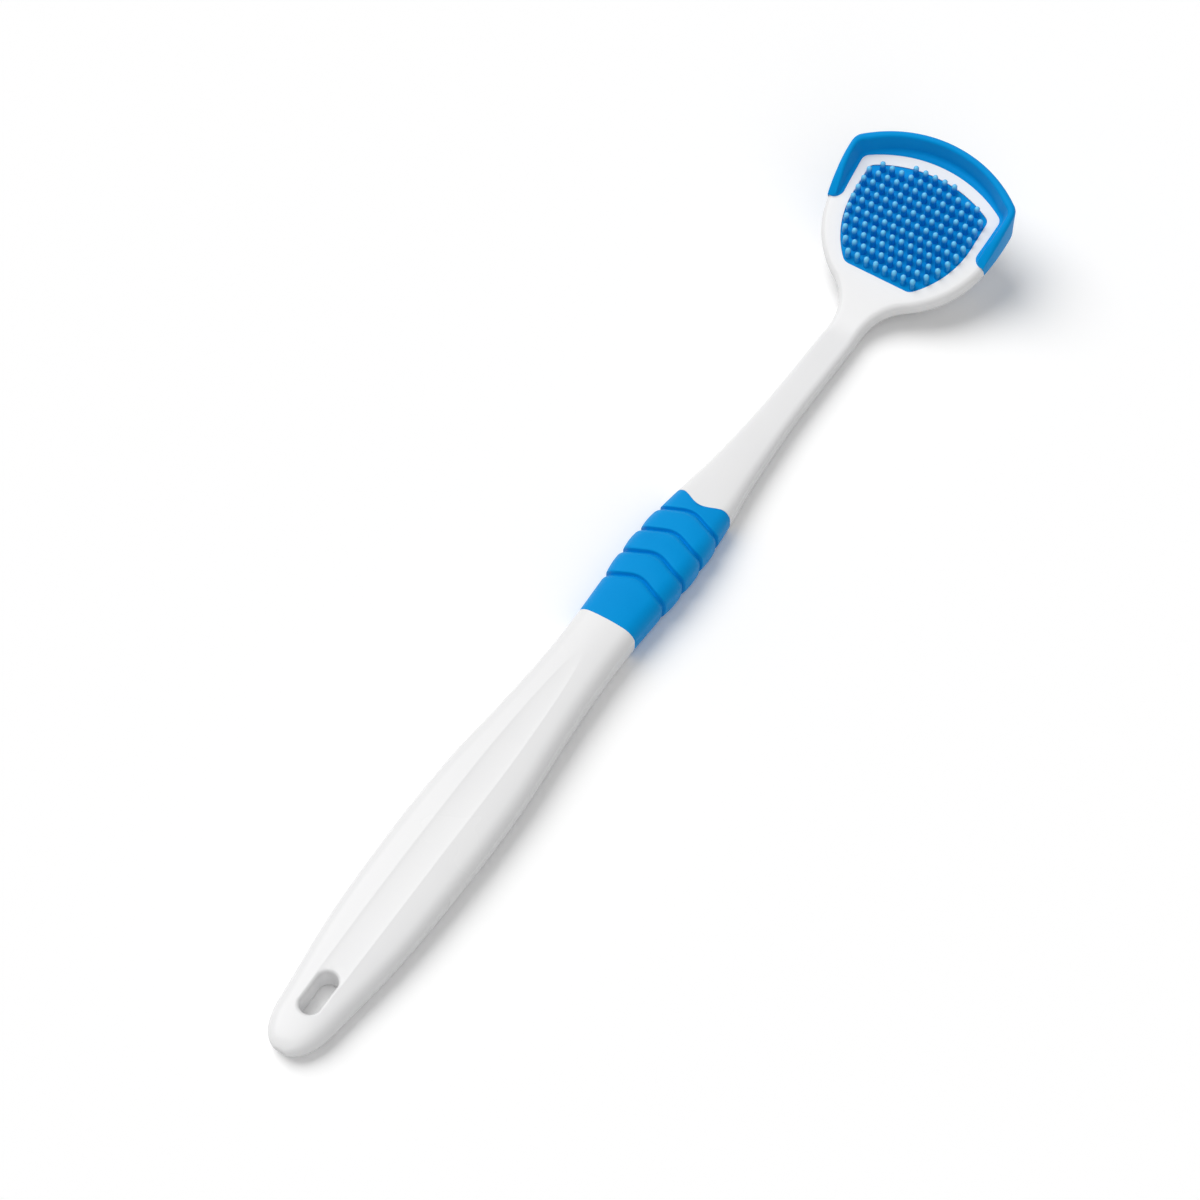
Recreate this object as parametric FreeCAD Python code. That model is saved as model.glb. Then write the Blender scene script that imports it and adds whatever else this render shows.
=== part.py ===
import FreeCAD, Part
import math
import os

# Tongue scraper: a rigid white body with three soft mouldings set into it.
# It is drawn with its tail tip at y = 0 and the head towards +Y, brush side up,
# and is moved at the end so that the origin is under the middle of its length.

Vector = FreeCAD.Vector
level_tolerance = Part.Precision.confusion() * 1000

# Overall sizes, in millimetres
handle_length = 161.4
head_tilt_degrees = 17.5
belly_width = 15.0
grip_height = 7.1
rest_depth = 0.3
cut_overrun = 3.0

# Neck and bend under the head
neck_width = 5.7
neck_edge_radius = 1.3
plate_thickness = 3.3
plate_edge_radius = 1.1
bend_radius = 18.0

# Head outline
flare_radius = 5.0
flare_turn_degrees = 60.0
shoulder_width = 30.8
shoulder_reach = 16.9
side_width = 32.4
side_reach = 25.6
front_corner_width = 29.2
front_corner_reach = 28.2
front_reach = 32.8

# Nub pad and its pocket
pad_start = 7.85
pad_start_width = 11.0
pad_turn_degrees = 76.0
pad_width = 21.8
pad_width_reach = 18.6
pad_side_width = 21.9
pad_side_reach = 24.2
pad_corner_width = 20.0
pad_corner_reach = 25.4
pad_front_reach = 28.0
pocket_depth = 1.4
pad_recess = 0.15
stud_sides = 6
stud_diameter = 2.6
stud_depth = 0.9
stud_spread = 11.0
stud_first_reach = 13.0
stud_row_pitch = 8.0

# Nubs on the pad
nub_sides = 6
nub_base_diameter = 0.98
nub_neck_diameter = 0.84
nub_height = 2.1
nub_tip_height = 0.3
nub_root = 0.5
nub_pitch = 1.78
nub_row_pitch = 1.85
nub_row_inset = 0.35
nub_margin = 0.75

# Scraper rim round the front of the head; its arms start where the shoulders end
rim_inner_width = 26.6
rim_inner_reach = 25.2
rim_inner_corner_width = 24.6
rim_inner_corner_reach = 27.0
rim_inner_front_reach = 30.4
rim_stations = 15
rim_round_steps = 3
blade_height = 3.4
blade_foot_height = 0.2
blade_full_reach = 25.0
blade_thickness = 1.15
blade_round = 0.55
blade_hollow_radius = 0.8
tongue_reach = 1.1
tongue_thickness = 1.1

# Grip sleeve
grip_start = 89.9
grip_length = 29.2
grip_valley = 1.6
lobe_spacing = 7.8
sleeve_wall = 1.3
spine_chamfer = 0.8
groove_count = 4
groove_first = 9.0
groove_pitch = 5.35
groove_width = 0.75
groove_depth = 0.5
groove_wave = 0.65
groove_wave_spacing = 10.0
key_diameter = 2.6
key_first = 8.0
key_pitch = 12.0

# Hang slot
slot_width = 3.4
slot_length = 7.8
slot_centre = 10.5
slot_lip = 0.6

# Shallow channel that runs from the hang slot along the handle's upper face
channel_end = 82.9
channel_depth = 0.13
channel_radius = 30.0

# The tail's rounded end
tail_length = 7.4
tail_squareness_share = 2.3
tail_station_degrees = [10, 25, 40, 55, 70]

# Handle sections from tail to neck, as shares of the sizes above: place along the handle,
# width of the belly, top and underside of the grip's height, crown of the half width
handle_section_shares = [
    (0.000, 0.600, 0.600, 0.000, 0.11),
    (0.065, 0.735, 0.648, -0.028, 0.11),
    (0.107, 0.845, 0.700, -0.042, 0.12),
    (0.162, 0.940, 0.765, -0.042, 0.12),
    (0.228, 0.990, 0.830, -0.042, 0.12),
    (0.289, 1.000, 0.866, -0.042, 0.12),
    (0.352, 0.955, 0.890, -0.042, 0.12),
    (0.415, 0.830, 0.908, -0.042, 0.12),
    (0.477, 0.735, 0.922, -0.042, 0.12),
    (0.538, 0.702, 0.938, -0.042, 0.12),
    (0.595, 0.745, 0.955, -0.042, 0.12),
    (0.651, 0.795, 0.958, -0.042, 0.12),
    (0.702, 0.760, 0.880, -0.042, 0.12),
    (0.745, 0.670, 0.770, -0.036, 0.10),
    (0.787, 0.555, 0.680, -0.020, 0.08),
    (0.834, 0.470, 0.615, -0.006, 0.05),
    (0.891, 0.405, 0.565, 0.006, 0.03),
]
handle_station_count = 16
edge_steps = 4
crown_steps = 2
edge_radius_share = 0.32
underside_crown_share = 0.5
neck_lift_share = 0.02
channel_point_shares = [0.0, 0.2, 0.4, 0.6, 0.75, 0.88, 1.0]
channel_fade_share = 0.6


def neck_height():
    """Height of the neck's upper face."""
    return neck_lift_share * grip_height + plate_thickness


def tail_rounding(place):
    """How much of the handle's section is left at a place on the tail's rounded end."""
    if place >= tail_length:
        return 1
    power = tail_squareness_share
    return (1 - (1 - place / tail_length)**power)**(1 / power)


def section_sizes(place):
    """Half width, top, underside and crown of the handle's section at a place along it."""
    neck = (1, neck_width / belly_width, neck_height() / grip_height, neck_lift_share, 0)
    rows = handle_section_shares + [neck]
    share = place / handle_length
    span = 0
    while span < len(rows) - 2 and share > rows[span + 1][0]:
        span += 1
    near = rows[span]
    far = rows[span + 1]
    before = rows[max(span - 1, 0)]
    after = rows[min(span + 2, len(rows) - 1)]
    step = (share - near[0]) / (far[0] - near[0])
    blended = []
    for column in range(1, len(near)):
        # a smooth curve through the rows, with the slope at each row taken from its neighbours
        leave = (far[column] - before[column]) / (far[0] - before[0]) * (far[0] - near[0])
        arrive = (after[column] - near[column]) / (after[0] - near[0]) * (far[0] - near[0])
        rise = far[column] - near[column]
        bend = 3 * rise - 2 * leave - arrive
        twist = leave + arrive - 2 * rise
        blended.append(near[column] + step * (leave + step * (bend + step * twist)))
    width, top, bottom, crown = blended
    kept = tail_rounding(place)
    half_width = width * belly_width / 2 * kept
    middle = (top + bottom) / 2 * grip_height
    half_height = (top - bottom) / 2 * grip_height * kept
    return half_width, middle + half_height, middle - half_height, crown * half_width


def section_ring(half_width, top, bottom, crown, edge_radius):
    """Points round a section with a crowned top and underside and rounded edges: x and z."""

    def quarter(height, crown_height, direction):
        # from the right side over the rounded edge to the middle of the crown
        crown_height = max(crown_height, level_tolerance)
        crown_radius = (half_width**2 + crown_height**2) / (2 * crown_height)
        crown_z = height - direction * crown_radius
        centre_x = half_width - edge_radius
        rise = math.sqrt((crown_radius - edge_radius)**2 - centre_x**2)
        turn = math.atan2(rise, centre_x)
        points = []
        for step in range(edge_steps + 1):
            angle = turn * step / edge_steps
            points.append((
                centre_x + edge_radius * math.cos(angle),
                crown_z + direction * (rise + edge_radius * math.sin(angle))))
        for step in range(1, crown_steps + 1):
            angle = turn + (math.pi / 2 - turn) * step / crown_steps
            points.append((
                crown_radius * math.cos(angle),
                crown_z + direction * crown_radius * math.sin(angle)))
        return points

    upper = quarter(top, crown, 1)
    lower = quarter(bottom, crown * underside_crown_share, -1)
    upper_left = [(-x, z) for x, z in reversed(upper[:-1])]
    lower_left = [(-x, z) for x, z in lower]
    return upper + upper_left + lower_left + list(reversed(lower[:-1]))


def closed_polygon(points):
    return Part.makePolygon(points + points[:1])


def handle_section(place, inset):
    """The handle's section at a place along it, drawn in by inset all round."""
    half_width, top, bottom, crown = section_sizes(place)
    high = top - inset
    low = bottom + inset
    crown = crown * (half_width - inset) / half_width
    ring = section_ring(half_width - inset, high, low, crown, edge_radius_share * (high - low))
    return closed_polygon([Vector(x, place, z) for x, z in ring])


def handle_places(first, last):
    """Evenly spaced places for the sections of a stretch of handle."""
    pitch = (handle_length - tail_length) / handle_station_count
    count = math.ceil((last - first) / pitch)
    return [first + (last - first) * number / count for number in range(count + 1)]


def bent_section(turn_degrees):
    """A station of the neck part way round the bend under the head."""
    turn = math.radians(turn_degrees)
    centre_z = neck_height() + bend_radius

    def place(x, h):
        radius = bend_radius - h
        return Vector(x, handle_length + radius * math.sin(turn), centre_z - radius * math.cos(turn))

    ring = section_ring(neck_width / 2, 0, -plate_thickness, 0, neck_edge_radius)
    return closed_polygon([place(x, h) for x, h in ring])


def handle_body():
    """The whole handle up to the end of the bend, with a flat place to rest on."""
    tail = [tail_length * (1 - math.cos(math.radians(turn))) for turn in tail_station_degrees]
    places = tail + handle_places(tail_length, handle_length)[:-1]
    wires = [handle_section(place, 0) for place in places]
    wires += [bent_section(head_tilt_degrees * share) for share in (0, 0.5, 1)]
    body = Part.makeLoft(wires, True, False)
    table = Part.makeBox(
        belly_width * 2, handle_length * 2, rest_depth + cut_overrun,
        Vector(-belly_width, -handle_length / 2, -rest_depth - cut_overrun))
    return body.cut(table)


def groove_floor():
    """The handle under the sleeve's grooves, drawn in by the grooves' depth."""
    first = grip_start - cut_overrun
    last = grip_start + grip_length + cut_overrun
    places = handle_places(first, last)
    return Part.makeLoft([handle_section(place, groove_depth) for place in places], True, False)


def faceted(rings):
    """A solid of flat faces through rings of points that match one to one."""
    faces = [Part.Face(closed_polygon(ring)) for ring in (rings[0], rings[-1])]
    for near, far in zip(rings, rings[1:]):
        for number, point in enumerate(near):
            ahead = (number + 1) % len(near)
            faces.append(Part.Face(closed_polygon([point, near[ahead], far[ahead], far[number]])))
    return Part.makeSolid(Part.Shell(faces))


def spine_ring(place):
    """An eight-sided section of the spine, one wall inside the handle's section."""
    half_width, top, bottom, crown = section_sizes(place)
    half = half_width - sleeve_wall
    high = top - sleeve_wall
    low = bottom + sleeve_wall
    cut = spine_chamfer
    right = [(half - cut, low), (half, low + cut), (half, high - cut), (half - cut, high)]
    left = [(-x, z) for x, z in reversed(right)]
    return [Vector(x, place, z) for x, z in right + left]


def grip_spine():
    """The bar that the sleeve is moulded round, widest where the grip is widest."""
    first = grip_start - cut_overrun
    last = grip_start + grip_length + cut_overrun
    return faceted([spine_ring(place) for place in (first, (first + last) / 2, last)])


def on_head(shape):
    """Move a shape drawn in head coordinates (x, reach, height) to the end of the bend."""
    turn = math.radians(head_tilt_degrees)
    moved = shape.copy()
    moved.rotate(Vector(0, 0, 0), Vector(1, 0, 0), head_tilt_degrees)
    moved.translate(Vector(
        0,
        handle_length + bend_radius * math.sin(turn),
        neck_height() + bend_radius * (1 - math.cos(turn))))
    return moved


def tangent_arc(start, direction_degrees, end):
    """An arc from start to end that leaves start in a direction measured from +Y towards +X."""
    angle = math.radians(direction_degrees)
    chord = end - start
    chord_angle = math.atan2(chord.x, chord.y)
    half_turn = chord_angle - angle
    radius = chord.Length / (2 * math.sin(half_turn))
    bulge = radius * (1 - math.cos(half_turn))
    normal = Vector(chord.y, -chord.x, 0).normalize()
    middle = (start + end) / 2 - normal * bulge
    end_direction = math.degrees(chord_angle + half_turn)
    return Part.Arc(start, middle, end).toShape(), end_direction


def mirrored(edges):
    return [edge.mirror(Vector(0, 0, 0), Vector(1, 0, 0)) for edge in edges]


def closed_face(edges):
    return Part.Face(Part.Wire(Part.__sortEdges__(edges)))


def head_edges():
    """The right half of the head's outline from the neck: flare, shoulder, side, corner and front."""
    turn = math.radians(flare_turn_degrees)
    neck = Vector(neck_width / 2, 0, 0)
    centre = neck + Vector(flare_radius, 0, 0)
    flare_end = centre + Vector(-flare_radius * math.cos(turn), flare_radius * math.sin(turn), 0)
    flare_middle = centre + Vector(
        -flare_radius * math.cos(turn / 2), flare_radius * math.sin(turn / 2), 0)
    flare = Part.Arc(neck, flare_middle, flare_end).toShape()
    shoulder = Vector(shoulder_width / 2, shoulder_reach, 0)
    side = Vector(side_width / 2, side_reach, 0)
    corner = Vector(front_corner_width / 2, front_corner_reach, 0)
    shoulder_arc, heading = tangent_arc(flare_end, flare_turn_degrees, shoulder)
    side_arc, heading = tangent_arc(shoulder, heading, side)
    corner_arc, heading = tangent_arc(side, heading, corner)
    front, heading = tangent_arc(Vector(0, front_reach, 0), 90, corner)
    return [flare, shoulder_arc, side_arc, corner_arc, front]


def head_face():
    """The head's whole outline, closed across the neck."""
    half = head_edges()
    start = Part.makeLine(Vector(-neck_width / 2, 0, 0), Vector(neck_width / 2, 0, 0))
    return closed_face(half + mirrored(half) + [start])


def pad_face(inset=0):
    """The pad's outline, drawn in by inset for the nubs' field."""
    low = Vector(pad_start_width / 2 - inset / 2, pad_start + inset, 0)
    wide = Vector(pad_width / 2 - inset, pad_width_reach, 0)
    side = Vector(pad_side_width / 2 - inset, pad_side_reach - inset, 0)
    corner = Vector(pad_corner_width / 2 - inset, pad_corner_reach - inset, 0)
    shoulder_arc, heading = tangent_arc(low, pad_turn_degrees, wide)
    corner_arc, heading = tangent_arc(side, 0, corner)
    half = [shoulder_arc, Part.makeLine(wide, side), corner_arc]
    front = Part.Arc(
        corner, Vector(0, pad_front_reach - inset, 0), Vector(-corner.x, corner.y, 0)).toShape()
    start = Part.makeLine(Vector(-low.x, low.y, 0), low)
    return closed_face(half + mirrored(half) + [front, start])


def rim_rails():
    """Matching points along the rim's inner and outer edges, from the left arm's end to the right's."""
    foot = Vector(rim_inner_width / 2, shoulder_reach, 0)
    side = Vector(rim_inner_width / 2, rim_inner_reach, 0)
    corner = Vector(rim_inner_corner_width / 2, rim_inner_corner_reach, 0)
    front = Vector(0, rim_inner_front_reach, 0)
    corner_arc, heading = tangent_arc(side, 0, corner)
    front_arc, heading = tangent_arc(front, 90, corner)
    inner_edges = [Part.makeLine(foot, side), corner_arc, front_arc]
    rails = []
    for edges in (inner_edges, head_edges()[2:]):
        right = Part.Wire(edges).discretize(Number=rim_stations)
        if right[0].y > right[-1].y:
            right.reverse()
        left = [Vector(-point.x, point.y, 0) for point in right]
        rails.append(left + list(reversed(right[:-1])))
    return list(zip(*rails))


def rim_zone(outset):
    """The region of the head outside the rim's inner edge, moved towards the outer edge by outset."""
    far = front_reach + cut_overrun
    wide = side_width / 2 + cut_overrun
    edge = [inner + (outer - inner).normalize() * outset for inner, outer in rim_rails()]
    start = edge[0].y
    around = [Vector(wide, start, 0), Vector(wide, far, 0), Vector(-wide, far, 0), Vector(-wide, start, 0)]
    return Part.Face(closed_polygon(edge + around))


def slab(face, low, high):
    """A face of the head's plane made solid between two heights."""
    raised = face.copy()
    raised.translate(Vector(0, 0, low))
    return raised.extrude(Vector(0, 0, high - low))


def edges_at_height(shape, height):
    """Edges that lie level at a height."""
    found = []
    for edge in shape.Edges:
        box = edge.BoundBox
        if abs(box.ZMin - height) < level_tolerance and box.ZLength < level_tolerance:
            found.append(edge)
    return found


def head_plate(zone_tongue):
    """The white plate with its rounded edge, less the rim, with a tongue for the rim to grip."""
    blank = slab(head_face(), -plate_thickness, 0)
    edges = edges_at_height(blank, 0) + edges_at_height(blank, -plate_thickness)
    round_edges = [edge for edge in edges if edge.BoundBox.YMax > level_tolerance]
    blank = blank.makeFillet(plate_edge_radius, round_edges)
    plate = blank.cut(slab(rim_zone(0), -plate_thickness - cut_overrun, cut_overrun))
    return plate.fuse(zone_tongue).removeSplitter()


def rim_tongue():
    """The tongue round the plate's front edge, halfway up its thickness."""
    low = -(plate_thickness + tongue_thickness) / 2
    high = low + tongue_thickness
    ring = slab(rim_zone(0), low, high)
    return ring.cut(slab(rim_zone(tongue_reach), low, high))


def rim_section(inner, outer):
    """A section of the rim on the line between its edges: a flange round the plate's edge and,
    at its outer side, a thin wall that stands up as the scraping lip."""
    run = blade_full_reach - shoulder_reach
    back = max(0, blade_full_reach - (inner.y + outer.y) / 2)
    climb = blade_height - blade_foot_height
    ramp_radius = (run**2 + climb**2) / (2 * climb)
    height = blade_height - ramp_radius + math.sqrt(ramp_radius**2 - back**2)
    width = (outer - inner).Length
    wall = width - blade_thickness
    top_round = min(blade_round, height / 3)
    hollow = min(blade_hollow_radius, height / 3)
    corners = [
        (width - plate_edge_radius, plate_edge_radius - plate_thickness, plate_edge_radius, -90, 90),
        (width - top_round, height - top_round, top_round, 0, 90),
        (wall + top_round, height - top_round, top_round, 90, 90),
        (wall - hollow, hollow, hollow, 0, -90),
    ]
    points = [(0, -plate_thickness)]
    for across, up, radius, start, turn in corners:
        for step in range(rim_round_steps + 1):
            angle = math.radians(start + turn * step / rim_round_steps)
            points.append((across + radius * math.cos(angle), up + radius * math.sin(angle)))
    points.append((0, 0))
    outward = (outer - inner).normalize()
    return closed_polygon([inner + outward * across + Vector(0, 0, up) for across, up in points])


def scraper_rim(tongue):
    """The soft scraper lip round the head's front edge, hollowed for the tongue that it grips."""
    wires = [rim_section(inner, outer) for inner, outer in rim_rails()]
    return Part.makeLoft(wires, True, True).cut(tongue)


def even_ring(sides, diameter, height):
    """Points of an even-sided outline about the origin, at a height."""
    turns = [2 * math.pi * number / sides for number in range(sides)]
    return [Vector(diameter / 2 * math.cos(turn), diameter / 2 * math.sin(turn), height) for turn in turns]


def anchor_studs():
    """The studs under the pad that go into blind holes in the plate."""
    low = -pocket_depth - stud_depth
    single = faceted([even_ring(stud_sides, stud_diameter, height) for height in (low, -pocket_depth)])
    studs = []
    for side in (-1, 1):
        for row in (0, 1):
            stud = single.copy()
            stud.translate(Vector(side * stud_spread / 2, stud_first_reach + row * stud_row_pitch, 0))
            studs.append(stud)
    return studs


def bristle_pad():
    """The soft pad with its anchor studs and its field of nubs."""
    pad = slab(pad_face(), -pocket_depth, -pad_recess)
    return pad.multiFuse(anchor_studs() + nubs()).removeSplitter()


def nub():
    """One nub standing on z = 0: a six-sided taper with a blunt point and a root below it."""
    shoulder = even_ring(nub_sides, nub_neck_diameter, nub_height - nub_tip_height)
    stem = faceted([even_ring(nub_sides, nub_base_diameter, -nub_root), shoulder])
    point = Vector(0, 0, nub_height)
    sides = [
        Part.Face(closed_polygon([near, far, point]))
        for near, far in zip(shoulder, shoulder[1:] + shoulder[:1])]
    cap = Part.makeSolid(Part.Shell(sides + [Part.Face(closed_polygon(shoulder))]))
    return stem.fuse(cap)


def nubs():
    """Rows of nubs, each row spread evenly across the pad; they stand along the mould's draw."""
    single = nub()
    single.rotate(Vector(0, 0, 0), Vector(1, 0, 0), -head_tilt_degrees)
    field = pad_face(nub_margin)
    first = field.BoundBox.YMin + nub_row_inset
    length = field.BoundBox.YLength - 2 * nub_row_inset
    gaps = int(length / nub_row_pitch)
    placed = []
    for row in range(gaps + 1):
        reach = first + length * row / gaps
        ruler = Part.makeLine(Vector(-pad_width, reach, 0), Vector(pad_width, reach, 0))
        across = field.common(ruler).BoundBox
        count = max(1, round(across.XLength / nub_pitch))
        for number in range(count + 1):
            copy = single.copy()
            copy.translate(Vector(across.XMin + across.XLength * number / count, reach, -pad_recess))
            placed.append(copy)
    return placed


def pad_pocket():
    """The pocket in the plate with the blind holes for the studs."""
    pocket = slab(pad_face(), -pocket_depth, cut_overrun)
    return pocket.multiFuse(anchor_studs())


def wave(base, swing, spacing, sign):
    """A wave of joined arcs across the handle, with a crest or a valley on its middle plane."""
    reach = spacing / 2
    sides = math.ceil(belly_width / spacing)
    edges = []
    for number in range(-sides, sides + 1):
        height = base + sign * swing * (-1)**number
        edges.append(Part.Arc(
            Vector((number - 1 / 2) * reach, base, 0),
            Vector(number * reach, height, 0),
            Vector((number + 1 / 2) * reach, base, 0)).toShape())
    half_run = (sides + 1 / 2) * reach
    return edges, Vector(-half_run, base, 0), Vector(half_run, base, 0)


def upright(face):
    """A flat outline made into a prism that passes right through the handle."""
    low = -grip_height
    moved = face.copy()
    moved.translate(Vector(0, 0, low))
    return moved.extrude(Vector(0, 0, grip_height * 3))


def band(lower, upper):
    """The face between two waves across the handle."""
    low_edges, low_left, low_right = lower
    high_edges, high_left, high_right = upper
    ends = [Part.makeLine(low_left, high_left), Part.makeLine(low_right, high_right)]
    return closed_face(low_edges + high_edges + ends)


def grip_zone():
    """The length of handle that the sleeve covers: square at the tail end, lobed at the neck end."""
    top = wave(
        grip_start + grip_length - grip_valley / 2, grip_valley / 2, lobe_spacing, -1)
    low_left = Vector(top[1].x, grip_start, 0)
    low_right = Vector(top[2].x, grip_start, 0)
    bottom = ([Part.makeLine(low_left, low_right)], low_left, low_right)
    return upright(band(bottom, top))


def groove_cutters(floor):
    """The wavy grooves round the sleeve, down to their floor."""
    cutters = []
    for number in range(groove_count):
        middle = grip_start + groove_first + number * groove_pitch
        lower = wave(middle - groove_width / 2, groove_wave, groove_wave_spacing, 1)
        upper = wave(middle + groove_width / 2, groove_wave, groove_wave_spacing, 1)
        cutters.append(upright(band(lower, upper)).cut(floor))
    return cutters


def key_bores():
    """Cross bores through the spine that the sleeve fills, which lock it in place."""
    return [
        Part.makeCylinder(
            key_diameter / 2, grip_height * 3,
            Vector(0, grip_start + key_first + number * key_pitch, -grip_height))
        for number in range(2)]


def stadium(width, length):
    """A round-ended slot outline about the origin, along Y."""
    half = length / 2 - width / 2
    radius = width / 2
    left_low = Vector(-radius, -half, 0)
    left_high = Vector(-radius, half, 0)
    right_high = Vector(radius, half, 0)
    right_low = Vector(radius, -half, 0)
    return Part.Face(Part.Wire([
        Part.makeLine(left_low, left_high),
        Part.Arc(left_high, Vector(0, half + radius, 0), right_high).toShape(),
        Part.makeLine(right_high, right_low),
        Part.Arc(right_low, Vector(0, -half - radius, 0), left_low).toShape(),
    ]))


def slot_mouth():
    """The bevelled mouth of the hang slot, under a flat face at z = 0."""
    grown = 2 * slot_lip
    wide = stadium(slot_width + grown, slot_length + grown)
    block = slab(stadium(slot_width + 2 * grown, slot_length + 2 * grown), -grown, 0)
    collar = block.cut(slab(stadium(slot_width, slot_length), -grown, 0))
    inner = [edge for edge in edges_at_height(collar, 0)
             if edge.BoundBox.XMax < slot_width / 2 + slot_lip / 2
             and edge.BoundBox.XMin > -slot_width / 2 - slot_lip / 2]
    collar = collar.makeChamfer(slot_lip, inner)
    return slab(wide, -grown, 0).cut(collar).fuse(slab(wide, 0, cut_overrun))


def hang_slot():
    """The hang slot through the tail, with bevelled lips above and below."""
    slot = stadium(slot_width, slot_length)
    slot.translate(Vector(0, slot_centre, 0))
    low_end = slot_centre - slot_length / 2
    high_end = slot_centre + slot_length / 2
    slope = math.degrees(math.atan2(top_height(high_end) - top_height(low_end), slot_length))
    upper = slot_mouth()
    upper.rotate(Vector(0, 0, 0), Vector(1, 0, 0), slope)
    upper.translate(Vector(0, slot_centre, (top_height(low_end) + top_height(high_end)) / 2))
    lower = slot_mouth()
    lower.rotate(Vector(0, 0, 0), Vector(0, 1, 0), 180)
    lower.translate(Vector(0, slot_centre, 0))
    return upright(slot).multiFuse([upper, lower])


def top_height(place):
    """Height of the handle's upper face on its middle plane."""
    return section_sizes(place)[1]


def thumb_channel():
    """A long round bar whose underside takes the channel out of the upper face."""
    length = channel_end - slot_centre
    points = []
    for share in channel_point_shares:
        fade = max(0, share - channel_fade_share) / (1 - channel_fade_share)
        place = slot_centre + share * length
        points.append(Vector(0, place, top_height(place) - channel_depth * (1 - fade**2)))
    profile = Part.BSplineCurve()
    profile.interpolate(points)
    lift = Vector(0, 0, channel_radius)
    start = points[0] + lift
    end = points[-1] + lift
    outline = Part.Wire([
        profile.toShape(),
        Part.makeLine(points[-1], end),
        Part.makeLine(end, start),
        Part.makeLine(start, points[0]),
    ])
    return Part.Face(outline).revolve(start, end - start, 360)


body = handle_body()
spine = grip_spine()
keys = key_bores()
covered = body.common(grip_zone())
sleeve = covered.cut(spine)
for key in keys:
    sleeve = sleeve.fuse(covered.common(spine).common(key))
sleeve = sleeve.removeSplitter()
core = body.cut(sleeve)
grooves = groove_cutters(groove_floor())
for groove in grooves:
    sleeve = sleeve.cut(groove)

core = core.cut(thumb_channel())
core = core.cut(hang_slot())

tongue = rim_tongue()
plate = head_plate(tongue)
plate = plate.cut(pad_pocket())
core = core.fuse(on_head(plate)).removeSplitter()
pad = on_head(bristle_pad())
rim = on_head(scraper_rim(tongue))

nodes = {
    "handle_core": core,
    "grip_sleeve": sleeve,
    "bristle_pad": pad,
    "scraper_rim": rim,
}

# The origin goes under the middle of the whole length, on the surface that the handle lies on
whole = Part.Compound(list(nodes.values())).optimalBoundingBox()
shift = Vector(0, -(whole.YMin + whole.YMax) / 2, -whole.ZMin)

os.makedirs("parts", exist_ok=True)
for name, shape in nodes.items():
    placed = shape.copy()
    placed.translate(shift)
    placed.exportStep("parts/" + name + ".step")
    box = placed.optimalBoundingBox()
    print(
        name, "solids", len(placed.Solids), "valid", placed.isValid(), "volume", round(placed.Volume, 1),
        "x", round(box.XMin, 2), round(box.XMax, 2), "y", round(box.YMin, 2), round(box.YMax, 2),
        "z", round(box.ZMin, 2), round(box.ZMax, 2))
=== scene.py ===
import math

import bmesh
import bpy
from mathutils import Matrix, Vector


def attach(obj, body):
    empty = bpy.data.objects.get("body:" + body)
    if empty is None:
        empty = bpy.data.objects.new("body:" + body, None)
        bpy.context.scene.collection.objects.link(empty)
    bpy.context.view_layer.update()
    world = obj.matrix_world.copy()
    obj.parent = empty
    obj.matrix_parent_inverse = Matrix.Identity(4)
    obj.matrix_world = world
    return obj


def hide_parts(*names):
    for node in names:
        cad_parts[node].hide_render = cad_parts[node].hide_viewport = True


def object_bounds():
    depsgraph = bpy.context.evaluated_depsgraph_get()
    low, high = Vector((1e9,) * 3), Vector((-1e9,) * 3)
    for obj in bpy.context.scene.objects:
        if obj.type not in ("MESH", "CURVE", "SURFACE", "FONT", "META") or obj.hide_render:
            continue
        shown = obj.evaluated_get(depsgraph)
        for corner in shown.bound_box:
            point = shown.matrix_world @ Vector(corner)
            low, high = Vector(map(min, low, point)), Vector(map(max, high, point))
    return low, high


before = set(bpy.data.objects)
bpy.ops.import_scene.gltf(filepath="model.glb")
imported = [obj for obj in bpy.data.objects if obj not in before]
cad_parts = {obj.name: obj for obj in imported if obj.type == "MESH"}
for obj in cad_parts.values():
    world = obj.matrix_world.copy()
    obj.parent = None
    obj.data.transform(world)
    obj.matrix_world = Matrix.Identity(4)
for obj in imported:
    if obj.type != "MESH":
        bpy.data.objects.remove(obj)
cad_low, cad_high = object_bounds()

# Handle and head plate: one stiff white polypropylene moulding, from the hang slot at the tail
# over the belly, the spine under the grip and the thin neck to the plate that is tilted up.
# Its polished mould leaves it glossy; a shallow channel runs up its upper face from the slot.

mm = 0.001
handle_length = 161.4
belly_width = 15.0
grip_height = 7.1
neck_width = 5.7
plate_thickness = 3.3
plate_edge_radius = 1.1
bend_radius = 18.0
head_tilt = math.radians(17.5)
neck_underside_share = 0.02
neck_top = neck_underside_share * grip_height + plate_thickness
tail_length = 7.4
tail_squareness = 2.3
tail_first_turn = math.radians(10)
tail_tip = tail_length * (1 - math.cos(tail_first_turn))
tail_rings = 18
handle_edge_share = 0.32
upper_edge_share = 0.25
lower_edge_share = 0.44
edge_most_share = 0.8
tail_round_share = 0.2
tail_round_length = 22.0
underside_crown_share = 0.5
grip_start = 89.9
grip_length = 29.2
grip_end = grip_start + grip_length
grip_valley = 1.4
lobe_spacing = 8.5
lobe_fade = 5.0
sleeve_wall = 0.9

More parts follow.
